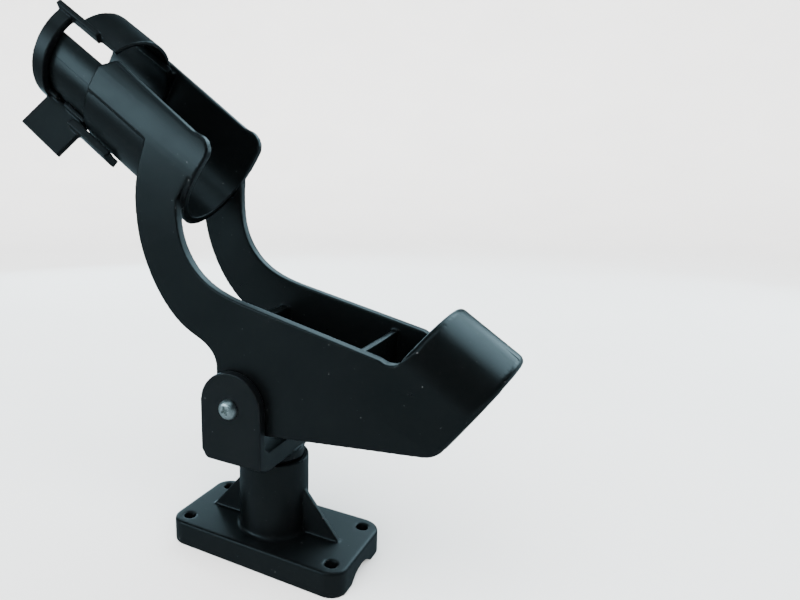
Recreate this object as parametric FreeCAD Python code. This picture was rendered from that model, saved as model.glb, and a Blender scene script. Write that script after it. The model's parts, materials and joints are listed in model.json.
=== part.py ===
import FreeCAD
import Part
import math
import os

# Adjustable rod holder: a screwed deck base, a swivelling yoke and a tilting
# cradle with a rotating lock collar.  Millimetres, +Z up.  The origin is where
# the stem axis meets the underside of the base.  +X points to the butt end.

V = FreeCAD.Vector
X_AXIS = V(1, 0, 0)
Y_AXIS = V(0, 1, 0)
Z_AXIS = V(0, 0, 1)

# Deck base
BASE_LENGTH = 98.0
BASE_WIDTH = 53.5
BASE_THICK = 12.5
BASE_CORNER = 9.0
SCREW_PITCH_X = 82.0
SCREW_PITCH_Y = 37.0
SCREW_HOLE_R = 3.0
SOCKET_R = 17.7
SOCKET_TOP = 51.3
SOCKET_FOOT_R = 2.0
SOCKET_BORE_R = 14.0
LUG_POCKET_R = 17.2
LUG_POCKET_TOP = 10.6
KEYWAY_WIDTH = 5.6
GUSSET_THICK = 3.0
GUSSET_FOOT_X = 37.0
GUSSET_TOP = 36.0
RAIL_R = 16.7
RAIL_DEPTH = 4.6

# Yoke
PIVOT_X = -2.5
PIVOT_Z = 85.0
EAR_INNER = 31.5
EAR_OUTER = 36.0
EAR_HALF_WIDTH = 16.3
EAR_TOP_R = 16.7
EAR_FOOT_Z = 58.6
WEB_BOTTOM = 55.5
WEB_TOP = 65.0
SHOULDER_R = 15.5
SHOULDER_BOTTOM = 51.6
STEM_R = 13.95
STEM_BOTTOM = 5.8
STEM_CORE_R = 10.0
STEM_CORE_TOP = 52.0
LUG_R = 16.6
LUG_TOP = 10.2
LUG_WIDTH = 5.0

# Cradle
WALL_OUTER = 30.2
WALL_INNER = 25.2
TUBE_ANGLE = 35.7
TUBE_X = -46.3
TUBE_Z = 203.0
TUBE_R = 29.6
TUBE_BORE_R = 25.4
TUBE_REAR_NEAR = -27.0
TUBE_REAR_FAR = -20.0
TUBE_LEAN_OUTER = 3.0
TUBE_LEAN_INNER = 1.8
TUBE_LEAN_RISE = 18.0
MOUTH_RISE_REAR = 16.8
MOUTH_RISE_FRONT = 19.3
MOUTH_CORNER_R = 7.5
MOUTH_CHAMFER = 7.0
LIP_LENGTH = 13.0
LIP_RAMP = 4.5
LIP_RISE = 0.9
SHOULDER_S = 50.0
NECK_R = 26.4
NECK_BORE_R = 22.8
NECK_FRONT = 93.0
NECK_SLOT_NEAR = 63.0
NECK_SLOT_FAR = 42.0
STEP_RISE_NEAR = 11.0
STEP_RISE_FAR = 17.0
GUARD_FRONT = 56.5
GUARD_BORE_R = 29.1
GROOVE_R = 25.2
GROOVE_START = 85.0
GROOVE_END = 88.0
HUB_R = 13.4
BOSS_R = 8.0
SLEEVE_R = 4.0
HOOD_FRONT = -148.0
HOOD_REAR = -182.0
HOOD_RISE = 22.0
HOOD_WALL = 4.5
FLOOR_SLOPE = 0.0974
FLOOR_THICK = 4.0
DRAIN_R = 4.0

# Lock collar
FIT_GAP = 0.06
COLLAR_BORE_R = NECK_R + FIT_GAP
SHELL_R = 28.8
SHELL_START = 50.4
SHELL_END = 79.5
SHELL_FAR = -75.0
SHELL_NEAR = 46.0
BAND_R = 30.5
BAND_START = 83.5
BAND_END = 93.0
BAND_FOOT = 170.0
BAR_ANGLE = 46.5
BAR_WIDTH = 3.0
BAR_START = 62.0
BAR_END = 95.0
BAR_R = 33.0
LEVER_ANGLE = 147.0
LEVER_THICK = 3.0
LEVER_START = 53.5
LEVER_END = 86.0
LEVER_TIP_R = 50.0
LEVER_ROOT_R = 27.2
STRIP_START = 28.5
STRIP_END = 60.0
STRIP_INNER_R = 30.3
STRIP_OUTER_R = 34.6
STRIP_FROM = 136.0
STRIP_TO = 157.0
FOOT_SLOT_START = 71.0
FOOT_SLOT_END = 77.5

# Pivot hardware
SCREW_R = 2.5
SLEEVE_BORE_R = 2.55
DISC_THICK = 1.0
DISC_R = 12.0
WASHER_R = 5.0
WASHER_THICK = 1.0
NUT_FLATS = 8.0
NUT_HEIGHT = 5.0
HEAD_R = 4.7
HEAD_HEIGHT = 3.4


def box(x0, x1, y0, y1, z0, z1):
    return Part.makeBox(x1 - x0, y1 - y0, z1 - z0, V(x0, y0, z0))


def rounded_plate(length, width, height, corner):
    """Flat plate centred on the origin with rounded vertical corners."""
    plate = box(-length / 2, length / 2, -width / 2, width / 2, 0, height)
    upright = [e for e in plate.Edges if abs(e.tangentAt(e.FirstParameter).z) > 0.9]
    return plate.makeFillet(corner, upright)


def side_extrusion(edges, y0, y1):
    """Solid from a closed outline drawn in the XZ plane."""
    face = Part.Face(Part.Wire(edges))
    face.translate(V(0, y0, 0))
    solid = face.extrude(V(0, y1 - y0, 0))
    if solid.Volume < 0:
        solid.reverse()
    return solid


def polygon_extrusion(points, y0, y1):
    corners = [V(x, 0, z) for x, z in points]
    wire = Part.makePolygon(corners + corners[:1])
    return side_extrusion(wire.Edges, y0, y1)


def spline_edge(points):
    curve = Part.BSplineCurve()
    curve.interpolate([V(x, 0, z) for x, z in points])
    return curve.toShape()


def line_edge(a, b):
    return Part.makeLine(V(a[0], 0, a[1]), V(b[0], 0, b[1]))


def arc_edge(a, b, c):
    return Part.Arc(V(a[0], 0, a[1]), V(b[0], 0, b[1]), V(c[0], 0, c[1])).toShape()


# Points along the tube: s runs forward along its axis, rise is square to it.
TILT = math.radians(TUBE_ANGLE)
FORWARD = V(-math.cos(TILT), 0, math.sin(TILT))
RISE = V(math.sin(TILT), 0, math.cos(TILT))


def tube_point(s, rise):
    p = V(TUBE_X, 0, TUBE_Z) + FORWARD * s + RISE * rise
    return (p.x, p.z)


# Local tube frame: X forward, Z rise, Y toward the -Y side of the holder.
TUBE_FRAME = FreeCAD.Placement(FreeCAD.Matrix(
    FORWARD.x, 0, RISE.x, TUBE_X,
    0, -1, 0, 0,
    FORWARD.z, 0, RISE.z, TUBE_Z,
    0, 0, 0, 1))


def place_on_tube(shape):
    placed = shape.copy()
    placed.Placement = TUBE_FRAME.multiply(shape.Placement)
    return placed


def sector(inner_r, outer_r, s0, s1, from_angle, to_angle):
    """Part of a sleeve; angles start at the top and grow toward local +Y."""
    face = Part.Face(Part.makePolygon([
        V(s0, 0, inner_r), V(s1, 0, inner_r),
        V(s1, 0, outer_r), V(s0, 0, outer_r), V(s0, 0, inner_r)]))
    face.rotate(V(0, 0, 0), X_AXIS, -from_angle)
    return face.revolve(V(0, 0, 0), V(-1, 0, 0), to_angle - from_angle)


def radial_plate(angle, width, inner_r, outer_r, s0, s1):
    """Flat plate standing out from the sleeve at one angle."""
    plate = box(s0, s1, -width / 2, width / 2, inner_r, outer_r)
    plate.rotate(V(0, 0, 0), X_AXIS, -angle)
    return plate


def along_y(radius, y0, y1, x=PIVOT_X, z=PIVOT_Z):
    return Part.makeCylinder(radius, y1 - y0, V(x, y0, z), Y_AXIS)


def make_deck_base():
    base = rounded_plate(BASE_LENGTH, BASE_WIDTH, BASE_THICK, BASE_CORNER)
    rim = [e for e in base.Edges if e.BoundBox.ZMin > BASE_THICK - 0.01]
    base = base.makeFillet(1.2, rim)
    base = base.fuse(Part.makeCylinder(SOCKET_R, SOCKET_TOP)).removeSplitter()
    foot = [e for e in base.Edges if abs(e.BoundBox.ZMin - BASE_THICK) < 0.01
            and abs(e.BoundBox.ZMax - BASE_THICK) < 0.01 and e.BoundBox.XMax < SOCKET_R + 1]
    base = base.makeFillet(SOCKET_FOOT_R, foot)
    for side in (-1, 1):
        gusset = polygon_extrusion(
            [(side * 15, BASE_THICK - 1), (side * 15, GUSSET_TOP),
             (side * (SOCKET_R - 0.2), GUSSET_TOP),
             (side * GUSSET_FOOT_X, BASE_THICK), (side * GUSSET_FOOT_X, BASE_THICK - 1)],
            -GUSSET_THICK / 2, GUSSET_THICK / 2)
        base = base.fuse(gusset)
    base = base.cut(Part.makeCylinder(SOCKET_BORE_R, SOCKET_TOP + 2, V(0, 0, -1)))
    base = base.cut(Part.makeCylinder(LUG_POCKET_R, LUG_POCKET_TOP + 1, V(0, 0, -1)))
    keyway = box(-LUG_POCKET_R + 0.4, 0, -KEYWAY_WIDTH / 2, KEYWAY_WIDTH / 2, 0, SOCKET_TOP + 1)
    base = base.cut(keyway)
    for sx in (-1, 1):
        for sy in (-1, 1):
            centre = V(sx * SCREW_PITCH_X / 2, sy * SCREW_PITCH_Y / 2, -1)
            base = base.cut(Part.makeCylinder(SCREW_HOLE_R, BASE_THICK + 2, centre))
    rail = Part.makeCylinder(RAIL_R, BASE_LENGTH + 4,
                             V(-BASE_LENGTH / 2 - 2, 0, RAIL_DEPTH - RAIL_R), X_AXIS)
    return base.cut(rail).removeSplitter()


def make_yoke():
    ear_x = PIVOT_X + 0.2
    left = ear_x - EAR_HALF_WIDTH
    right = ear_x + EAR_HALF_WIDTH
    shoulder_z = PIVOT_Z + 0.3
    ear_outline = [
        line_edge((left + 6, EAR_FOOT_Z), (right, EAR_FOOT_Z)),
        line_edge((right, EAR_FOOT_Z), (right, shoulder_z)),
        arc_edge((right, shoulder_z), (ear_x, shoulder_z + EAR_TOP_R), (left, shoulder_z)),
        line_edge((left, shoulder_z), (left, EAR_FOOT_Z + 6)),
        arc_edge((left, EAR_FOOT_Z + 6), (left + 1.76, EAR_FOOT_Z + 1.76), (left + 6, EAR_FOOT_Z))]
    yoke = None
    for y0, y1 in ((-EAR_OUTER, -EAR_INNER), (EAR_INNER, EAR_OUTER)):
        ear = side_extrusion(ear_outline, y0, y1)
        yoke = ear if yoke is None else yoke.fuse(ear)
    # Web with the outer lower corners rolled up into the ears.
    half = EAR_OUTER
    inner = EAR_INNER + 0.5
    section = Part.Wire([
        Part.makeLine(V(0, -25, WEB_BOTTOM), V(0, 25, WEB_BOTTOM)),
        Part.Arc(V(0, 25, WEB_BOTTOM), V(0, 32.5, WEB_BOTTOM + 1.1), V(0, half, EAR_FOOT_Z)).toShape(),
        Part.makeLine(V(0, half, EAR_FOOT_Z), V(0, half, WEB_TOP + 3)),
        Part.makeLine(V(0, half, WEB_TOP + 3), V(0, inner, WEB_TOP + 3)),
        Part.makeLine(V(0, inner, WEB_TOP + 3), V(0, inner - 3.5, WEB_TOP)),
        Part.makeLine(V(0, inner - 3.5, WEB_TOP), V(0, 3.5 - inner, WEB_TOP)),
        Part.makeLine(V(0, 3.5 - inner, WEB_TOP), V(0, -inner, WEB_TOP + 3)),
        Part.makeLine(V(0, -inner, WEB_TOP + 3), V(0, -half, WEB_TOP + 3)),
        Part.makeLine(V(0, -half, WEB_TOP + 3), V(0, -half, EAR_FOOT_Z)),
        Part.Arc(V(0, -half, EAR_FOOT_Z), V(0, -32.5, WEB_BOTTOM + 1.1), V(0, -25, WEB_BOTTOM)).toShape()])
    web = Part.Face(section).extrude(V(2 * EAR_HALF_WIDTH, 0, 0))
    web.translate(V(left, 0, 0))
    # The ear outline, carried down to the web, trims the web's rounded end.
    trim = polygon_extrusion(
        [(left + 5, WEB_BOTTOM - 1), (right + 1, WEB_BOTTOM - 1), (right + 1, 80),
         (left - 1, 80), (left - 1, WEB_BOTTOM + 9), (left, WEB_BOTTOM + 7)], -50, 50)
    yoke = yoke.fuse(web.common(trim))
    yoke = yoke.fuse(Part.makeCylinder(SHOULDER_R, WEB_BOTTOM + 1 - SHOULDER_BOTTOM,
                                       V(0, 0, SHOULDER_BOTTOM)))
    yoke = yoke.fuse(Part.makeCylinder(STEM_R, WEB_BOTTOM - STEM_BOTTOM, V(0, 0, STEM_BOTTOM)))
    lug = box(-LUG_WIDTH / 2, LUG_WIDTH / 2, 12, LUG_R + 1, STEM_BOTTOM, LUG_TOP)
    yoke = yoke.fuse(lug.common(Part.makeCylinder(LUG_R, 20)))
    yoke = yoke.cut(Part.makeCylinder(STEM_CORE_R, STEM_CORE_TOP))
    yoke = yoke.cut(along_y(SCREW_R + 0.1, -40, 40))
    return yoke.removeSplitter()


def side_outline(rim_s):
    """Outline of one side wall: curved arm, box and the foot of the hood.

    The arm's rear edge rises to the tube's rim, which it meets at rim_s.
    """
    top_front = tube_point(5.8, 0)
    top_rear = tube_point(rim_s, 0)
    arm_rear_x = -34.0
    arm_rear_z = TUBE_Z + (rim_s - FORWARD.x * (arm_rear_x - TUBE_X)) / FORWARD.z
    hood_front = tube_point(HOOD_FRONT, 0)
    hood_rear = tube_point(HOOD_REAR, 0)
    rear_low = tube_point(HOOD_REAR, -15.5)
    floor_z = PIVOT_Z - HUB_R
    hub_bottom = (PIVOT_X + HUB_R * 0.097, floor_z + 0.06)
    floor_end_x = 83.5
    floor_end = (floor_end_x, hub_bottom[1] + FLOOR_SLOPE * (floor_end_x - hub_bottom[0]))
    hub_front = (PIVOT_X - HUB_R, PIVOT_Z)
    hub_mid = (PIVOT_X - HUB_R * 0.68, PIVOT_Z - HUB_R * 0.733)
    corner_mid = (rear_low[0] - 3.7, floor_end[1] + 1.5)
    return [
        spline_edge([top_front, (-55.8, 195.0), (-58.6, 184.5), (-59.0, 172.6), (-57.2, 159.0),
                     (-53.1, 146.9), (-46.4, 134.4), (-38.7, 124.9), (-30.2, 118.0),
                     (-19.5, 112.2), (-14.4, 106.7), (-13.2, 99.5), hub_front]),
        arc_edge(hub_front, hub_mid, hub_bottom),
        line_edge(hub_bottom, floor_end),
        arc_edge(floor_end, corner_mid, rear_low),
        line_edge(rear_low, hood_rear),
        line_edge(hood_rear, hood_front),
        arc_edge(hood_front, (70.6, 115.3), (66.2, 116.7)),
        line_edge((66.2, 116.7), (0.5, 133.3)),
        spline_edge([(0.5, 133.3), (-7.9, 136.0), (-15.6, 139.6), (-23.0, 145.2), (-28.8, 152.5),
                     (-32.6, 161.0), (-34.2, 170.8), (arm_rear_x, arm_rear_z)]),
        line_edge((arm_rear_x, arm_rear_z), top_rear),
        line_edge(top_rear, top_front)]


def hood_arch(half_width, rise, s0, s1):
    """Solid elliptical half-arch over the tube axis."""
    ellipse = Part.Ellipse(V(0, 0, 0), half_width, rise)
    curve = ellipse.toShape(0, math.pi)
    chord = Part.makeLine(V(-half_width, 0, 0), V(half_width, 0, 0))
    face = Part.Face(Part.Wire([curve, chord]))
    # Stand the section up square to the tube axis: ellipse x to Y, y to Z.
    face.rotate(V(0, 0, 0), X_AXIS, 90)
    face.rotate(V(0, 0, 0), Z_AXIS, 90)
    solid = face.extrude(V(s1 - s0, 0, 0))
    solid.translate(V(s0, 0, 0))
    return place_on_tube(solid)


def trough_section(radius, foot, lean, top):
    """Half circle carried up by two gently curved walls, square to the tube axis.

    The walls start at foot, which may stand a small ledge outside the half circle.
    """
    wall_r = (TUBE_LEAN_RISE ** 2 + lean ** 2) / (2 * lean)

    def wall_y(rise):
        return foot - wall_r + math.sqrt(wall_r ** 2 - rise ** 2)

    edges = [Part.Arc(V(0, -radius, 0), V(0, 0, -radius), V(0, radius, 0)).toShape(),
             Part.makeLine(V(0, wall_y(top), top), V(0, -wall_y(top), top))]
    for side in (-1, 1):
        edges.append(Part.Arc(V(0, side * foot, 0), V(0, side * wall_y(top / 2), top / 2),
                              V(0, side * wall_y(top), top)).toShape())
        if foot > radius:
            edges.append(Part.makeLine(V(0, side * radius, 0), V(0, side * foot, 0)))
    return Part.Face(Part.Wire(Part.__sortEdges__(edges)))


def trough_profile(rear_s, front_points):
    """Side view of the trough: rising mouth edge, end lip and round rear corner."""
    lip_start = rear_s + LIP_LENGTH
    lip_foot = mouth_rise(lip_start)
    lip_top = lip_foot + LIP_RISE
    r = MOUTH_CORNER_R
    arc_inset = r * (1 - math.sqrt(0.5))
    points = [(-40, 0), (-40, -40), (SHOULDER_S, -40)] + front_points
    points += [(lip_start, lip_foot), (lip_start - LIP_RAMP, lip_top), (rear_s + r, lip_top)]
    edges = [line_edge(a, b) for a, b in zip(points, points[1:])]
    return edges + [
        arc_edge((rear_s + r, lip_top), (rear_s + arc_inset, lip_top - arc_inset), (rear_s, lip_top - r)),
        line_edge((rear_s, lip_top - r), (rear_s, 0)),
        line_edge((rear_s, 0), (-40, 0))]


def mouth_rise(s):
    """Rise of the trough's top edge, which climbs toward the neck."""
    slope = (MOUTH_RISE_FRONT - MOUTH_RISE_REAR) / (SHOULDER_S - TUBE_REAR_FAR)
    return MOUTH_RISE_FRONT + slope * (s - SHOULDER_S)


def make_trough():
    """Open rear length of the tube; its rim is cut a little askew."""
    length = GUARD_FRONT + 40
    outer = trough_section(TUBE_R, WALL_OUTER, TUBE_LEAN_OUTER, 24).extrude(V(length, 0, 0))
    inner = trough_section(TUBE_BORE_R, TUBE_BORE_R, TUBE_LEAN_INNER, 24)
    inner = inner.extrude(V(length, 0, 0))
    trough = outer.cut(inner)
    trough.translate(V(-40, 0, 0))
    chamfered = [(SHOULDER_S, MOUTH_RISE_FRONT - MOUTH_CHAMFER),
                 (SHOULDER_S - MOUTH_CHAMFER, mouth_rise(SHOULDER_S - MOUTH_CHAMFER))]
    guarded = [(SHOULDER_S, 0), (GUARD_FRONT, 0), (GUARD_FRONT, mouth_rise(GUARD_FRONT))]
    near_half = side_extrusion(trough_profile(TUBE_REAR_NEAR, chamfered), 0, 40)
    far_half = side_extrusion(trough_profile(TUBE_REAR_FAR, guarded), -40, 0)
    trough = trough.common(near_half.fuse(far_half))
    # Ahead of the shoulder the far wall runs on outside the collar's shell.
    trough = trough.cut(Part.makeCylinder(GUARD_BORE_R, 20, V(SHOULDER_S, 0, 0), X_AXIS))
    # Local +Y is the near side.
    reach = 28.0
    near_s, far_s = TUBE_REAR_NEAR, TUBE_REAR_FAR
    middle, lead = (near_s + far_s) / 2, (far_s - near_s) / 2
    behind = Part.Face(Part.makePolygon([
        V(middle + lead * 40 / reach, -40, -40), V(middle - lead * 40 / reach, 40, -40),
        V(-60, 40, -40), V(-60, -40, -40), V(middle + lead * 40 / reach, -40, -40)]))
    return trough.cut(behind.extrude(V(0, 0, 80)))


def make_cradle():
    near_outline = side_outline(TUBE_REAR_NEAR + 2.6)
    far_outline = side_outline(TUBE_REAR_FAR + 1.0)
    full = side_extrusion(near_outline, -WALL_OUTER, WALL_OUTER)
    near_wall = side_extrusion(near_outline, -WALL_OUTER, -WALL_INNER)
    far_wall = side_extrusion(far_outline, WALL_INNER, WALL_OUTER)
    floor_start = PIVOT_Z - HUB_R
    floor = polygon_extrusion(
        [(-20, floor_start - 4), (100, floor_start + FLOOR_SLOPE * 100 - 2),
         (100, floor_start + FLOOR_SLOPE * 102 + FLOOR_THICK),
         (PIVOT_X, floor_start + FLOOR_THICK), (-11.5, 84.0), (-20, 84.0)],
        -WALL_OUTER, WALL_OUTER)
    front_wall = polygon_extrusion(
        [(-20, 80), (-11.4, 80), (-9.2, 99.5), (-4.5, 110), (-4.2, 121.0), (-9.0, 121.5), (-20, 112)],
        -WALL_OUTER, WALL_OUTER)
    rear_wall = place_on_tube(box(HOOD_REAR, HOOD_REAR + 5, -WALL_OUTER, WALL_OUTER, -30, 1))
    cross_rib = box(51.0, 54.0, -WALL_OUTER, WALL_OUTER, 74, 115.6)
    cradle = near_wall.fuse(far_wall)
    for wall in (floor, front_wall, rear_wall, cross_rib):
        cradle = cradle.fuse(wall.common(full))
    cradle = cradle.fuse(along_y(BOSS_R, -WALL_OUTER, WALL_OUTER))

    hood = hood_arch(WALL_OUTER, HOOD_RISE, HOOD_REAR, HOOD_FRONT)
    pocket = hood_arch(WALL_INNER, HOOD_RISE - HOOD_WALL, HOOD_REAR + 5, HOOD_FRONT + 1)
    cradle = cradle.fuse(hood.cut(pocket))

    neck = sector(NECK_BORE_R, NECK_R, SHOULDER_S - 4, NECK_FRONT,
                  NECK_SLOT_NEAR, 360 - NECK_SLOT_FAR)
    groove = sector(GROOVE_R, NECK_R + 2, GROOVE_START, GROOVE_END, 0, 359.9)
    step_foot = TUBE_BORE_R + 1
    step = trough_section(step_foot, step_foot, TUBE_LEAN_INNER, STEP_RISE_FAR)
    step = step.extrude(V(4, 0, 0))
    step.translate(V(SHOULDER_S - 4, 0, 0))
    step = step.cut(Part.makeCylinder(NECK_BORE_R, 8, V(SHOULDER_S - 6, 0, 0), X_AXIS))
    step = step.cut(box(0, SHOULDER_S + 1, 0, 40, STEP_RISE_NEAR, 40))
    cradle = cradle.fuse(place_on_tube(make_trough().fuse(step)))
    cradle = cradle.fuse(place_on_tube(neck.cut(groove)))
    bore = trough_section(TUBE_BORE_R, TUBE_BORE_R, TUBE_LEAN_INNER, 24)
    bore = bore.extrude(V(SHOULDER_S + 36, 0, 0))
    bore.translate(V(-40, 0, 0))
    cradle = cradle.cut(place_on_tube(bore))
    cradle = cradle.cut(along_y(SLEEVE_R + 0.03, -40, 40))
    cradle = cradle.cut(Part.makeCylinder(DRAIN_R, 20, V(74, 0, 68)))
    return cradle.removeSplitter()


def make_lock_collar():
    shell = sector(COLLAR_BORE_R, SHELL_R, SHELL_START, SHELL_END, SHELL_FAR, SHELL_NEAR)
    band = sector(COLLAR_BORE_R, BAND_R, BAND_START, BAND_END, SHELL_NEAR - 2, BAND_FOOT)
    bridge = sector(COLLAR_BORE_R, SHELL_R, SHELL_END - 1, BAND_START + 1,
                    SHELL_NEAR - 3, SHELL_NEAR + 3)
    rib = sector(GROOVE_R + 0.3, COLLAR_BORE_R + 1, GROOVE_START + 0.4, GROOVE_END - 0.4,
                 NECK_SLOT_NEAR, BAND_FOOT)
    bar = radial_plate(BAR_ANGLE, BAR_WIDTH, COLLAR_BORE_R + 0.6, BAR_R, BAR_START, BAR_END)
    lever = radial_plate(LEVER_ANGLE, LEVER_THICK, LEVER_ROOT_R, LEVER_TIP_R,
                         LEVER_START, LEVER_END)
    strip = sector(STRIP_INNER_R, STRIP_OUTER_R, STRIP_START, STRIP_END, STRIP_FROM, STRIP_TO)
    rear_foot = sector(COLLAR_BORE_R, SHELL_R, LEVER_START, FOOT_SLOT_START, STRIP_FROM, STRIP_TO)
    front_foot = sector(COLLAR_BORE_R, SHELL_R, FOOT_SLOT_END, BAND_START + 1, STRIP_FROM, STRIP_TO)
    collar = shell.fuse(band)
    for piece in (bridge, rib, bar, lever, strip, rear_foot, front_foot):
        collar = collar.fuse(piece)
    return place_on_tube(collar.removeSplitter())


def hexagon_prism(flats, y0, height):
    r = flats / math.sqrt(3)
    points = []
    for i in range(6):
        a = math.radians(60 * i)
        points.append((PIVOT_X + r * math.cos(a), PIVOT_Z + r * math.sin(a)))
    return polygon_extrusion(points, y0, y0 + height)


def make_pivot_screw():
    head_y = -EAR_OUTER
    end_y = EAR_OUTER + WASHER_THICK + NUT_HEIGHT + 1.5
    shank = along_y(SCREW_R, head_y - 0.5, end_y)
    head = along_y(HEAD_R, head_y - HEAD_HEIGHT, head_y)
    crown = [e for e in head.Edges if e.BoundBox.YMax < head_y - HEAD_HEIGHT + 0.01]
    head = head.makeFillet(2.2, crown)
    recess_y = head_y - HEAD_HEIGHT - 1
    for w, h in ((4.6, 1.1), (1.1, 4.6)):
        head = head.cut(box(PIVOT_X - w / 2, PIVOT_X + w / 2, recess_y, recess_y + 3.2,
                            PIVOT_Z - h / 2, PIVOT_Z + h / 2))
    return head.fuse(shank).removeSplitter()


def make_pivot_nut():
    y0 = EAR_OUTER + WASHER_THICK
    nut = hexagon_prism(NUT_FLATS, y0, NUT_HEIGHT)
    nut = nut.cut(along_y(SCREW_R + 0.03, y0 - 1, y0 + NUT_HEIGHT + 1))
    return nut.cut(along_y(3.3, y0 + NUT_HEIGHT - 1.4, y0 + NUT_HEIGHT + 1))


def make_nut_insert():
    y1 = EAR_OUTER + WASHER_THICK + NUT_HEIGHT
    ring = along_y(3.27, y1 - 1.4, y1)
    return ring.cut(along_y(SCREW_R + 0.02, y1 - 3, y1 + 1))


def make_ring(outer_r, inner_r, y0, y1):
    return along_y(outer_r, y0, y1).cut(along_y(inner_r, y0 - 1, y1 + 1))


pieces = {
    "deck_base": make_deck_base(),
    "yoke": make_yoke(),
    "cradle": make_cradle(),
    "lock_collar": make_lock_collar(),
    "pivot_screw": make_pivot_screw(),
    "pivot_nut": make_pivot_nut(),
    "nut_insert": make_nut_insert(),
    "pivot_washer": make_ring(WASHER_R, SCREW_R + 0.15, EAR_OUTER, EAR_OUTER + WASHER_THICK),
    "pivot_sleeve": make_ring(SLEEVE_R, SLEEVE_BORE_R, -WALL_OUTER - DISC_THICK,
                              WALL_OUTER + DISC_THICK),
    "friction_disc_near": make_ring(DISC_R, SLEEVE_R + 0.03, -WALL_OUTER - DISC_THICK,
                                    -WALL_OUTER),
    "friction_disc_far": make_ring(DISC_R, SLEEVE_R + 0.03, WALL_OUTER,
                                   WALL_OUTER + DISC_THICK),
}

os.makedirs("parts", exist_ok=True)
for name, shape in pieces.items():
    shape.exportStep("parts/" + name + ".step")
    print(name, len(shape.Solids), shape.isValid(), round(shape.Volume, 1))
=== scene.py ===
import json
import math

import bmesh
import bpy
from mathutils import Matrix, Vector


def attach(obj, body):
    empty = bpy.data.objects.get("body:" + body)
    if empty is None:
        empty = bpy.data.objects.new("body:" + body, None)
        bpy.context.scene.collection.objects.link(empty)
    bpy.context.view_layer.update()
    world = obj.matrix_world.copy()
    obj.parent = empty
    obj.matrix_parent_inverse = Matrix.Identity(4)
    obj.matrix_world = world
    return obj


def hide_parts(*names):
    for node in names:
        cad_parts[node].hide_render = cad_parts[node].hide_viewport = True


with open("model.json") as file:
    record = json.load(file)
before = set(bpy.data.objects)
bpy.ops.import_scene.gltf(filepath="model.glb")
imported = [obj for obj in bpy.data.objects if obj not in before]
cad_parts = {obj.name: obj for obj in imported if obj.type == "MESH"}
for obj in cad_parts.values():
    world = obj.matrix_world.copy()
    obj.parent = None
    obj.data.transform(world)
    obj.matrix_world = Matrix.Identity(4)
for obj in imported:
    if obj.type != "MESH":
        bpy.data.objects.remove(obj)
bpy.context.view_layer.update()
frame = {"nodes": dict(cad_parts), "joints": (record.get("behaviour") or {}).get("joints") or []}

MM = 0.001

# Camera, matched to the view of the object at 800 x 600
CAMERA_TARGET = Vector((-16.35, 0, 128.04)) * MM
CAMERA_AZIMUTH = 33.06
CAMERA_ELEVATION = 11.16
CAMERA_ROLL = -0.84
CAMERA_DISTANCE = 314.35 * MM
CAMERA_LENS = 28.32
CAMERA_SHIFT_X = 0.194

# Colours of the lamps and of the dim surround
COOL = (0.56, 0.86, 1.0)
SURROUND_DARK = (0.080, 0.110, 0.125)
SURROUND_LIGHT = (0.095, 0.130, 0.145)

# Pivot screw and nut, in mm; the pivot runs along y
HEAD_FACE = -39.38
THREAD_START = 36.6
SCREW_END = 43.45
NUT_FOOT = 37.0
NUT_TOP = 42.0
SHANK_R = 2.5
SHANK_END_R = 2.3
THREAD_CREST_R = 2.49
THREAD_ROOT_R = 2.02
THREAD_PITCH = 0.8
SMOOTH_TURN = 64

# Pan head as (radius, depth behind its face)
HEAD_PROFILE = ((0.05, 0.0), (1.4, 0.05), (2.6, 0.22), (3.55, 0.65), (4.25, 1.3),
                (4.6, 2.1), (4.7, 2.8), (4.66, 3.35), (2.4, 3.38))

# Cross recess: half length and half width of a wing, above the face and at its foot
RECESS_TURN = 0.42
RECESS_TOP = (2.55, 0.62)
RECESS_FOOT = (0.75, 0.36)
RECESS_ABOVE = 0.4
RECESS_DEPTH = 2.3

# Butt hood, in mm in the tube's directions
HOOD_REAR = -182.0
HOOD_FRONT = -148.0
HOOD_HALF_WIDTH = 30.2
HOOD_RISE = 22.0
HOOD_REAR_RADIUS = 3.4
HOOD_MOUTH_RADIUS = 3.0
HOOD_SNAP = 0.5
HOOD_MARGIN = 0.5
HOOD_BLEND_RISE = 8.0

# Round surfaces about the tube's axis, in mm: their span along it, the highest rise that
# is moved, and each (radius on the moulding, radius wanted)
ROUND_SNAP = 0.16
TROUGH_ROUND = ((-30.0, 45.8), 0.0, ((29.6, 29.6), (25.4, 25.4)))
NECK_ROUND = ((50.2, 92.8), 40.0, ((26.4, 26.36), (22.8, 22.8)))
SHELL_ROUND = ((50.4, 79.5), 40.0, ((26.46, 26.56), (28.8, 28.8)))
BAND_ROUND = ((83.5, 93.0), 40.0, ((26.46, 26.56), (30.5, 30.5)))

# Parting line on each side of the neck, in mm
PARTING_ACROSS = 26.36
PARTING_STATIONS = (50.2, 60, 70, 83)
PARTING_R = 0.09

# Skins: voxels in metres for the mouldings, in mm for the small pieces
VOXEL = 0.45 * MM
ROUNDING_STEPS = 10
KEPT_FACES = 0.4
HEAD_VOXEL = 0.09
NUT_VOXEL = 0.1

# Noise scales of the plastic, per metre
CLOUD_SCALE = 38
SHEEN_SCALE = 55
WAVE_SCALE = 90
SPECK_SCALE = 620
GRAIN_SCALE = 2600

# Studio: lengths in metres, angles in degrees
FLOOR_FLAT_R = 1.5
FLOOR_CURVE_R = 2.0
BACKDROP_TOP = 5.0
FLOOR_SIDES = 96
CURVE_STEPS = 32
FLOOR_Z = -0.0002
SURROUND_Z = -0.0004
SURROUND_R = 3.4
WASH_TURN = -10
WASH_ELEVATION = 50
WASH_STRENGTH = 8.0
WASH_SPREAD = 75
WORLD_STRENGTH = 0.02

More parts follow.
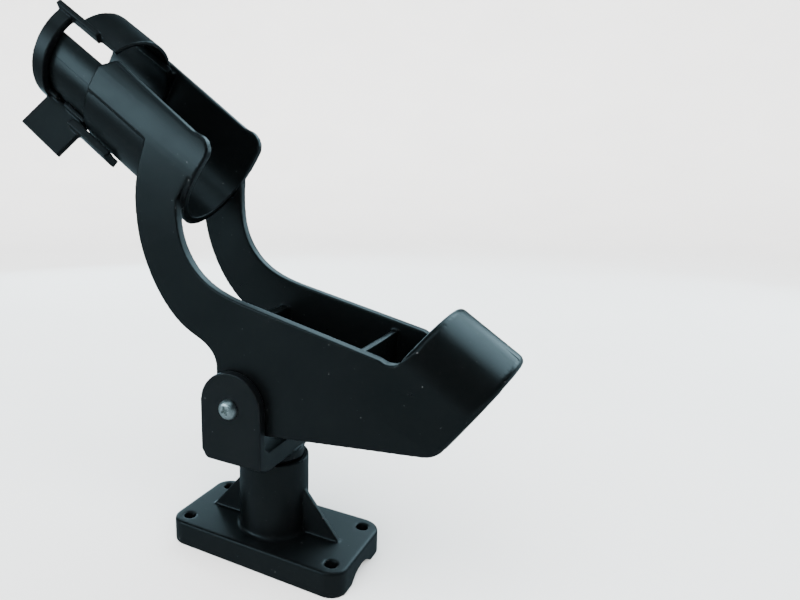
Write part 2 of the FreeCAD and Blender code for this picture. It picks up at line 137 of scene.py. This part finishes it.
# Soft boxes: name, azimuth, elevation, distance, width, height and how bright the face looks
SOFT_BOXES = (
    ("back_right_box", 148, 42, 1.2, 1.1, 0.68, 3.0),
    ("back_box", 184, 38, 1.2, 0.55, 0.5, 2.4),
    ("back_left_box", 202, 12, 1.2, 0.5, 0.36, 2.0),
    ("top_box", 60, 84, 1.2, 0.8, 0.5, 0.8),
    ("front_left_box", -37, 18, 1.2, 0.9, 0.46, 3.3),
    ("front_top_box", -15, 54, 1.2, 0.6, 0.36, 1.2),
    ("low_left_box", -128, 9, 1.1, 0.6, 0.36, 4.0),
    ("low_right_box", 153, 12, 1.1, 0.6, 0.4, 2.8),
)

JOINTS = {joint["name"]: joint for joint in frame["joints"]}
TUBE_ORIGIN = Vector(JOINTS["collar_turn"]["pos_m"])
FORWARD = -Vector(JOINTS["collar_turn"]["axis"]).normalized()
ACROSS = Vector((0, 1, 0))
RISE = ACROSS.cross(FORWARD)
PIVOT = Vector(JOINTS["cradle_tilt"]["pos_m"])


# ---------------------------------------------------------------- materials

def new_material(name):
    material = bpy.data.materials.new(name)
    material.use_nodes = True
    tree = material.node_tree
    shader = tree.nodes["Principled BSDF"]
    return material, tree, shader


def noise(tree, scale, detail=3.0, roughness=0.5, stretch=None):
    """Noise in object coordinates; stretch scales its three axes."""
    coords = tree.nodes.new("ShaderNodeTexCoord")
    texture = tree.nodes.new("ShaderNodeTexNoise")
    texture.inputs["Scale"].default_value = scale
    texture.inputs["Detail"].default_value = detail
    texture.inputs["Roughness"].default_value = roughness
    source = coords.outputs["Object"]
    if stretch:
        mapping = tree.nodes.new("ShaderNodeMapping")
        mapping.inputs["Scale"].default_value = stretch
        tree.links.new(source, mapping.inputs["Vector"])
        source = mapping.outputs["Vector"]
    tree.links.new(source, texture.inputs["Vector"])
    return texture.outputs["Fac"]


def ramp(tree, source, stops):
    """Colour ramp through (position, colour) stops."""
    node = tree.nodes.new("ShaderNodeValToRGB")
    elements = node.color_ramp.elements
    while len(elements) < len(stops):
        elements.new(0.5)
    for element, (position, colour) in zip(elements, stops):
        element.position = position
        element.color = (*colour, 1)
    tree.links.new(source, node.inputs["Fac"])
    return node.outputs["Color"]


def remap(tree, source, low, high, to_low, to_high):
    node = tree.nodes.new("ShaderNodeMapRange")
    node.inputs["From Min"].default_value = low
    node.inputs["From Max"].default_value = high
    node.inputs["To Min"].default_value = to_low
    node.inputs["To Max"].default_value = to_high
    tree.links.new(source, node.inputs["Value"])
    return node.outputs["Result"]


def bump(tree, height, strength, distance, normal=None):
    node = tree.nodes.new("ShaderNodeBump")
    node.inputs["Strength"].default_value = strength
    node.inputs["Distance"].default_value = distance
    tree.links.new(height, node.inputs["Height"])
    if normal is not None:
        tree.links.new(normal, node.inputs["Normal"])
    return node.outputs["Normal"]


def mix_colours(tree, factor, a, b):
    node = tree.nodes.new("ShaderNodeMix")
    node.data_type = "RGBA"
    tree.links.new(factor, node.inputs["Factor"])
    tree.links.new(a, node.inputs["A"])
    tree.links.new(b, node.inputs["B"])
    return node.outputs["Result"]


def black_plastic(name, dark, light, rough_low, rough_high, flow):
    """Satin glass-filled plastic: flow clouds, fine grain and a few dust specks."""
    material, tree, shader = new_material(name)
    clouds = noise(tree, CLOUD_SCALE, 4, 0.55, flow)
    base = ramp(tree, clouds, [(0.3, dark), (0.72, light)])
    specks = noise(tree, SPECK_SCALE, 1.5, 0.4)
    dust = remap(tree, specks, 0.76, 0.81, 0.0, 0.40)
    dust_colour = ramp(tree, clouds, [(0.0, (0.10, 0.11, 0.115)), (1.0, (0.16, 0.17, 0.175))])
    tree.links.new(mix_colours(tree, dust, base, dust_colour), shader.inputs["Base Color"])
    sheen = noise(tree, SHEEN_SCALE, 5, 0.6, flow)
    tree.links.new(remap(tree, sheen, 0.3, 0.7, rough_low, rough_high), shader.inputs["Roughness"])
    grain = bump(tree, noise(tree, GRAIN_SCALE, 2, 0.5), 0.10, 0.02 * MM)
    waves = bump(tree, noise(tree, WAVE_SCALE, 2, 0.5), 0.12, 0.12 * MM, grain)
    tree.links.new(waves, shader.inputs["Normal"])
    shader.inputs["Specular IOR Level"].default_value = 0.5
    return material


def bright_steel(name, tone, rough_low, rough_high):
    """Steel with duller patches and fine scratches."""
    material, tree, shader = new_material(name)
    patches = noise(tree, 700, 4, 0.6)
    dull = tuple(c * 0.72 for c in tone)
    tree.links.new(ramp(tree, patches, [(0.3, dull), (0.65, tone)]), shader.inputs["Base Color"])
    tree.links.new(remap(tree, noise(tree, 1500, 3, 0.6), 0.3, 0.7, rough_low, rough_high),
                   shader.inputs["Roughness"])
    scratches = noise(tree, 900, 2, 0.5, (1, 9, 1))
    tree.links.new(bump(tree, scratches, 0.30, 0.05 * MM), shader.inputs["Normal"])
    shader.inputs["Metallic"].default_value = 1.0
    return material


def nylon(name, dark, light):
    """Dull black nylon with a fine grain."""
    material, tree, shader = new_material(name)
    patches = noise(tree, 260, 3, 0.5)
    tree.links.new(ramp(tree, patches, [(0.3, dark), (0.7, light)]), shader.inputs["Base Color"])
    tree.links.new(remap(tree, patches, 0.3, 0.7, 0.42, 0.58), shader.inputs["Roughness"])
    tree.links.new(bump(tree, noise(tree, 2400, 2, 0.5), 0.1, 0.02 * MM), shader.inputs["Normal"])
    return material


BASE_PLASTIC = black_plastic("base_plastic", (0.0010, 0.0013, 0.0015), (0.0018, 0.0022, 0.0024),
                             0.30, 0.40, (1.0, 1.0, 0.6))
YOKE_PLASTIC = black_plastic("yoke_plastic", (0.0014, 0.0017, 0.0020), (0.0024, 0.0028, 0.0032),
                             0.32, 0.42, (1.0, 1.0, 0.6))
CRADLE_PLASTIC = black_plastic("cradle_plastic", (0.0009, 0.0012, 0.0013), (0.0017, 0.0021, 0.0023),
                               0.27, 0.37, (0.6, 1.0, 1.0))
COLLAR_PLASTIC = black_plastic("collar_plastic", (0.0014, 0.0017, 0.0019), (0.0024, 0.0028, 0.0031),
                               0.34, 0.44, (0.7, 1.0, 1.0))
STEEL = bright_steel("stainless_steel", (1.0, 0.99, 0.96), 0.34, 0.52)
NYLON = nylon("black_nylon", (0.014, 0.014, 0.015), (0.024, 0.024, 0.026))


# ---------------------------------------------------------------- mesh tools

def link(name, mesh):
    obj = bpy.data.objects.new(name, mesh)
    bpy.context.scene.collection.objects.link(obj)
    return obj


def apply_modifiers(obj):
    depsgraph = bpy.context.evaluated_depsgraph_get()
    mesh = bpy.data.meshes.new_from_object(obj.evaluated_get(depsgraph))
    obj.modifiers.clear()
    obj.data = mesh


def smooth_shade(mesh):
    mesh.polygons.foreach_set("use_smooth", [True] * len(mesh.polygons))


def finish_piece(obj, body, slot, material, *nodes):
    """Puts a finished visual piece in the frame in place of its CAD nodes."""
    obj.data.materials.clear()
    obj.data.materials.append(material)
    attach(obj, body)
    if nodes:
        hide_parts(*nodes)


def node_copy(node, name):
    """Welded copy of a CAD node's mesh, free of materials."""
    mesh = frame["nodes"][node].data.copy()
    work = bmesh.new()
    work.from_mesh(mesh)
    bmesh.ops.remove_doubles(work, verts=work.verts, dist=0.002 * MM)
    work.to_mesh(mesh)
    work.free()
    mesh.materials.clear()
    return link(name, mesh)


def soften(obj, voxel, steps, kept=1.0):
    """Remeshes a piece and rounds its edges."""
    remesh = obj.modifiers.new("skin", "REMESH")
    remesh.mode = "VOXEL"
    remesh.voxel_size = voxel
    rounding = obj.modifiers.new("rounding", "SMOOTH")
    rounding.factor = 0.5
    rounding.iterations = steps
    if kept < 1:
        thin = obj.modifiers.new("thin", "DECIMATE")
        thin.ratio = kept
    apply_modifiers(obj)
    smooth_shade(obj.data)
    return obj


def moulded_skin(node):
    """A one-piece skin over a CAD node, with the small radii a moulding has on every edge."""
    obj = node_copy(node, node + "_moulding")
    return soften(obj, VOXEL, ROUNDING_STEPS, KEPT_FACES)


def turned(name, profile, segments=48):
    """Closed turned piece about the pivot's axis from (radius, y) pairs in mm."""
    mesh = bpy.data.meshes.new(name)
    work = bmesh.new()
    rings = []
    for radius, y in profile:
        ring = []
        for k in range(segments):
            angle = 2 * math.pi * k / segments
            ring.append(work.verts.new((PIVOT.x + radius * MM * math.cos(angle), y * MM,
                                        PIVOT.z + radius * MM * math.sin(angle))))
        rings.append(ring)
    for a, b in zip(rings, rings[1:]):
        for k in range(segments):
            n = (k + 1) % segments
            work.faces.new((a[k], a[n], b[n], b[k]))
    work.faces.new(rings[0])
    work.faces.new(rings[-1])
    bmesh.ops.recalc_face_normals(work, faces=work.faces)
    work.to_mesh(mesh)
    work.free()
    return link(name, mesh)


def recess_wing(turn):
    """One wing of the cross recess: a tapered block across the screw's head."""
    mesh = bpy.data.meshes.new("wing")
    work = bmesh.new()
    corners = []
    for y, (length, half) in ((HEAD_FACE - RECESS_ABOVE, RECESS_TOP),
                              (HEAD_FACE + RECESS_DEPTH, RECESS_FOOT)):
        for u, w in ((-length, -half), (length, -half), (length, half), (-length, half)):
            x = u * math.cos(turn) - w * math.sin(turn)
            z = u * math.sin(turn) + w * math.cos(turn)
            corners.append(work.verts.new((PIVOT.x + x * MM, y * MM, PIVOT.z + z * MM)))
    bmesh.ops.convex_hull(work, input=corners)
    work.to_mesh(mesh)
    work.free()
    return link("wing", mesh)


def combine(obj, tool, operation):
    """Boolean of two closed pieces; the tool is used up."""
    step = obj.modifiers.new("combine", "BOOLEAN")
    step.operation = operation
    step.object = tool
    step.solver = "EXACT"
    apply_modifiers(obj)
    bpy.data.objects.remove(tool)


def join(name, parts):
    """One mesh holding several finished pieces of the same part."""
    work = bmesh.new()
    for part in parts:
        work.from_mesh(part.data)
        bpy.data.objects.remove(part)
    mesh = bpy.data.meshes.new(name)
    work.to_mesh(mesh)
    work.free()
    smooth_shade(mesh)
    return link(name, mesh)


def threaded_end(start, end, crest, root, pitch):
    """End of the screw with its helical thread and a short lead-in."""
    segments = 36
    rows = int((end - start) / (pitch / 8))
    mesh = bpy.data.meshes.new("thread")
    work = bmesh.new()
    rings = []
    for row in range(rows + 1):
        y = start + (end - start) * row / rows
        lead = min(1.0, (end - y) / 0.7 + 0.25)
        ring = []
        for k in range(segments):
            angle = 2 * math.pi * k / segments
            phase = (y / pitch - k / segments) % 1.0
            ridge = 1 - abs(2 * phase - 1)
            radius = (root + (crest - root) * min(1, ridge * 1.25)) * (0.82 + 0.18 * lead) * MM
            ring.append(work.verts.new((PIVOT.x + radius * math.cos(angle), y * MM,
                                        PIVOT.z + radius * math.sin(angle))))
        rings.append(ring)
    for a, b in zip(rings, rings[1:]):
        for k in range(segments):
            n = (k + 1) % segments
            work.faces.new((a[k], a[n], b[n], b[k]))
    work.faces.new(rings[0])
    work.faces.new(rings[-1])
    bmesh.ops.recalc_face_normals(work, faces=work.faces)
    work.to_mesh(mesh)
    work.free()
    return link("thread", mesh)


def make_screw():
    """Pan head with a tapered cross recess, plain shank and threaded end."""
    profile = [(radius, HEAD_FACE + depth) for radius, depth in HEAD_PROFILE]
    head = turned("head", profile, SMOOTH_TURN)
    for turn in (RECESS_TURN, RECESS_TURN + math.pi / 2):
        combine(head, recess_wing(turn), "DIFFERENCE")
    soften(head, HEAD_VOXEL * MM, 2)
    shank = turned("shank", [(SHANK_END_R, HEAD_FACE + 3.3), (SHANK_R, HEAD_FACE + 3.5),
                             (SHANK_R, THREAD_START), (SHANK_END_R, THREAD_START + 0.2)])
    thread = threaded_end(THREAD_START, SCREW_END, THREAD_CREST_R, THREAD_ROOT_R, THREAD_PITCH)
    return join("pivot_screw_metal", [head, shank, thread])


def make_nut():
    """Hexagon with both faces chamfered and a rounded collar over the insert."""
    nut = node_copy("pivot_nut", "pivot_nut_metal")
    chamfer = turned("chamfer", [(0.05, NUT_FOOT), (3.9, NUT_FOOT), (4.75, NUT_FOOT + 0.55),
                                 (4.75, NUT_TOP - 1.7), (4.05, NUT_TOP - 1.25),
                                 (3.95, NUT_TOP - 0.35), (3.6, NUT_TOP), (0.05, NUT_TOP)], SMOOTH_TURN)
    combine(nut, chamfer, "INTERSECT")
    return soften(nut, NUT_VOXEL * MM, 2)


def small_part(node, voxel):
    """A small CAD part with its edges just broken; voxel in mm."""
    obj = node_copy(node, node + "_finished")
    return soften(obj, voxel * MM, 2)


def parting_line(name, points, radius):
    """Thin raised line where the two halves of the mould met."""
    curve = bpy.data.curves.new(name, "CURVE")
    curve.dimensions = "3D"
    spline = curve.splines.new("POLY")
    spline.points.add(len(points) - 1)
    for point, place in zip(spline.points, points):
        point.co = (*place, 1)
    curve.bevel_depth = radius
    curve.bevel_resolution = 2
    obj = bpy.data.objects.new(name, curve)
    bpy.context.scene.collection.objects.link(obj)
    mesh = bpy.data.meshes.new_from_object(obj.evaluated_get(bpy.context.evaluated_depsgraph_get()))
    bpy.data.objects.remove(obj)
    smooth_shade(mesh)
    return link(name, mesh)


def beside_tube(s, across):
    """Point level with the tube's axis: s forward along it, across toward the far side."""
    return TUBE_ORIGIN + FORWARD * s * MM + ACROSS * across * MM


def rounded(edge_depth, skin_depth, radius):
    """How far a point near a square edge moves from both faces so the edge is round."""
    u = radius - edge_depth
    v = radius - skin_depth
    reach = math.hypot(u, v)
    if u <= 0 or v <= 0 or reach <= radius:
        return 0.0, 0.0
    return u * (1 - radius / reach), v * (1 - radius / reach)


def round_hood(obj):
    """Gives the hood's closed end and the edge of its mouth their large radii."""
    for vertex in obj.data.vertices:
        offset = (vertex.co - TUBE_ORIGIN) / MM
        s = offset.dot(FORWARD)
        if s > HOOD_FRONT + HOOD_MARGIN:
            continue
        across = offset.dot(ACROSS)
        rise = offset.dot(RISE)
        if rise > 0:
            fraction = math.hypot(across / HOOD_HALF_WIDTH, rise / HOOD_RISE)
            inward = Vector((0, 0, 0)) - ACROSS * across - RISE * rise
            depth = inward.length * (1 / fraction - 1)
            if abs(depth) < HOOD_SNAP:
                vertex.co -= inward.normalized() * depth * MM
                depth = 0.0
            mouth_radius = HOOD_MOUTH_RADIUS * min(1.0, rise / HOOD_BLEND_RISE)
        else:
            inward = ACROSS * -across
            depth = HOOD_HALF_WIDTH - abs(across)
            mouth_radius = 0.0
        inward.normalize()
        ahead, inset = rounded(s - HOOD_REAR, depth, HOOD_REAR_RADIUS)
        back, mouth_inset = rounded(HOOD_FRONT - s, depth, mouth_radius)
        vertex.co += (FORWARD * (ahead - back) + inward * (inset + mouth_inset)) * MM
    return obj


def true_round(obj, span, highest_rise, rounds):
    """Moves points lying close to a round surface about the tube's axis exactly onto it."""
    for vertex in obj.data.vertices:
        offset = (vertex.co - TUBE_ORIGIN) / MM
        s = offset.dot(FORWARD)
        if not span[0] < s < span[1] or offset.dot(RISE) > highest_rise:
            continue
        outward = offset - FORWARD * s
        reach = outward.length
        for found, wanted in rounds:
            if abs(reach - found) < ROUND_SNAP:
                vertex.co += outward * (wanted / reach - 1) * MM
                break


# ---------------------------------------------------------------- the holder

cradle = round_hood(moulded_skin("cradle"))
true_round(cradle, *TROUGH_ROUND)
true_round(cradle, *NECK_ROUND)
finish_piece(cradle, "tilt", "cradle_plastic", CRADLE_PLASTIC, "cradle")
finish_piece(moulded_skin("yoke"), "swivel", "yoke_plastic", YOKE_PLASTIC, "yoke")
finish_piece(moulded_skin("deck_base"), "base", "base_plastic", BASE_PLASTIC, "deck_base")
collar = moulded_skin("lock_collar")
true_round(collar, *SHELL_ROUND)
true_round(collar, *BAND_ROUND)
finish_piece(collar, "collar", "collar_plastic", COLLAR_PLASTIC, "lock_collar")

finish_piece(make_screw(), "swivel", "stainless_steel", STEEL, "pivot_screw")
finish_piece(make_nut(), "swivel", "stainless_steel", STEEL, "pivot_nut")
finish_piece(small_part("pivot_washer", 0.12), "swivel", "stainless_steel", STEEL, "pivot_washer")
finish_piece(small_part("nut_insert", 0.1), "swivel", "nylon", NYLON, "nut_insert")
finish_piece(small_part("pivot_sleeve", 0.25), "tilt", "stainless_steel", STEEL, "pivot_sleeve")
for side in ("near", "far"):
    disc = "friction_disc_" + side
    finish_piece(small_part(disc, 0.25), "tilt", "nylon", NYLON, disc)

for name, side in (("near", -1), ("far", 1)):
    points = [beside_tube(s, side * PARTING_ACROSS) for s in PARTING_STATIONS]
    line = parting_line("neck_parting_" + name, points, PARTING_R * MM)
    finish_piece(line, "tilt", "cradle_plastic", CRADLE_PLASTIC)


# ---------------------------------------------------------------- studio

def floor_material(name, dark, light):
    """Plain matt floor with a very slight change of tone."""
    material, tree, shader = new_material(name)
    tone = ramp(tree, noise(tree, 4, 2, 0.5), [(0.3, dark), (0.7, light)])
    tree.links.new(tone, shader.inputs["Base Color"])
    tree.links.new(remap(tree, noise(tree, 30, 3, 0.5), 0.3, 0.7, 0.55, 0.65),
                   shader.inputs["Roughness"])
    return material


def round_backdrop(name):
    """Round floor that curves up on every side."""
    mesh = bpy.data.meshes.new(name)
    work = bmesh.new()
    outline = [(FLOOR_FLAT_R, 0.0)]
    for i in range(1, CURVE_STEPS + 1):
        angle = math.radians(90 * i / CURVE_STEPS)
        outline.append((FLOOR_FLAT_R + FLOOR_CURVE_R * math.sin(angle),
                        FLOOR_CURVE_R - FLOOR_CURVE_R * math.cos(angle)))
    outline.append((FLOOR_FLAT_R + FLOOR_CURVE_R, BACKDROP_TOP))
    centre = work.verts.new((0, 0, 0))
    rings = []
    for radius, height in outline:
        ring = []
        for k in range(FLOOR_SIDES):
            angle = 2 * math.pi * k / FLOOR_SIDES
            ring.append(work.verts.new((radius * math.cos(angle), radius * math.sin(angle), height)))
        rings.append(ring)
    for k in range(FLOOR_SIDES):
        n = (k + 1) % FLOOR_SIDES
        work.faces.new((centre, rings[0][k], rings[0][n]))
        for a, b in zip(rings, rings[1:]):
            work.faces.new((a[k], b[k], b[n], a[n]))
    work.to_mesh(mesh)
    work.free()
    smooth_shade(mesh)
    return link(name, mesh)


def make_floor():
    """Pale floor and backdrop that the camera sees and the plastic doesn't reflect."""
    floor = round_backdrop("studio_floor")
    floor.location.z = FLOOR_Z
    floor.data.materials.append(floor_material("studio_floor", (0.93, 0.92, 0.91), (0.96, 0.95, 0.94)))
    floor.visible_glossy = False
    floor.visible_shadow = False


def make_dim_surround():
    """Dark disc just under the floor that is only seen reflected, as in a shaded studio."""
    mesh = bpy.data.meshes.new("dim_surround")
    work = bmesh.new()
    bmesh.ops.create_circle(work, cap_ends=True, radius=SURROUND_R, segments=FLOOR_SIDES)
    work.to_mesh(mesh)
    work.free()
    surround = link("dim_surround", mesh)
    surround.location.z = SURROUND_Z
    surround.data.materials.append(floor_material("dim_surround", SURROUND_DARK, SURROUND_LIGHT))
    surround.visible_camera = False
    surround.visible_diffuse = False
    surround.visible_shadow = False


def toward(azimuth, elevation):
    """Direction out from the object; azimuth is counted like the camera's."""
    a = math.radians(azimuth)
    e = math.radians(elevation)
    return Vector((math.sin(a) * math.cos(e), -math.cos(a) * math.cos(e), math.sin(e)))


def place_lamp(name, light, offset):
    """Puts a lamp at an offset from the object, facing it."""
    lamp = bpy.data.objects.new(name, light)
    lamp.location = CAMERA_TARGET + offset
    lamp.rotation_euler = offset.to_track_quat("Z", "Y").to_euler()
    bpy.context.scene.collection.objects.link(lamp)
    return lamp


def soft_box(name, azimuth, elevation, distance, width, height, glow):
    """Soft box aimed at the object; glow is how bright its face looks."""
    light = bpy.data.lights.new(name, "AREA")
    light.shape = "RECTANGLE"
    light.size = width
    light.size_y = height
    light.energy = glow * math.pi * width * height
    light.color = COOL
    place_lamp(name, light, toward(azimuth, elevation) * distance)


def wash_light():
    """Even light that whitens the floor and backdrop and leaves no reflection."""
    light = bpy.data.lights.new("wash", "SUN")
    light.energy = WASH_STRENGTH
    light.angle = math.radians(WASH_SPREAD)
    lamp = place_lamp("wash", light, toward(CAMERA_AZIMUTH + WASH_TURN, WASH_ELEVATION) * 2)
    lamp.visible_glossy = False


def make_world():
    world = bpy.data.worlds.new("studio")
    world.use_nodes = True
    background = world.node_tree.nodes["Background"]
    background.inputs["Color"].default_value = (*COOL, 1)
    background.inputs["Strength"].default_value = WORLD_STRENGTH
    bpy.context.scene.world = world


def make_camera():
    a = math.radians(CAMERA_AZIMUTH)
    r = math.radians(CAMERA_ROLL)
    back = toward(CAMERA_AZIMUTH, CAMERA_ELEVATION)
    level = Vector((math.cos(a), math.sin(a), 0))
    upright = back.cross(level)
    right = level * math.cos(r) + upright * math.sin(r)
    up = upright * math.cos(r) - level * math.sin(r)
    data = bpy.data.cameras.new("camera")
    data.lens = CAMERA_LENS
    data.sensor_width = 36.0
    data.shift_x = CAMERA_SHIFT_X
    data.clip_start = 0.01
    data.clip_end = 20
    camera = bpy.data.objects.new("camera", data)
    axes = Matrix((right, up, back)).transposed().to_4x4()
    camera.matrix_world = Matrix.Translation(CAMERA_TARGET + back * CAMERA_DISTANCE) @ axes
    bpy.context.scene.collection.objects.link(camera)
    bpy.context.scene.camera = camera


make_floor()
make_dim_surround()
make_world()
make_camera()
wash_light()
for box in SOFT_BOXES:
    soft_box(*box)
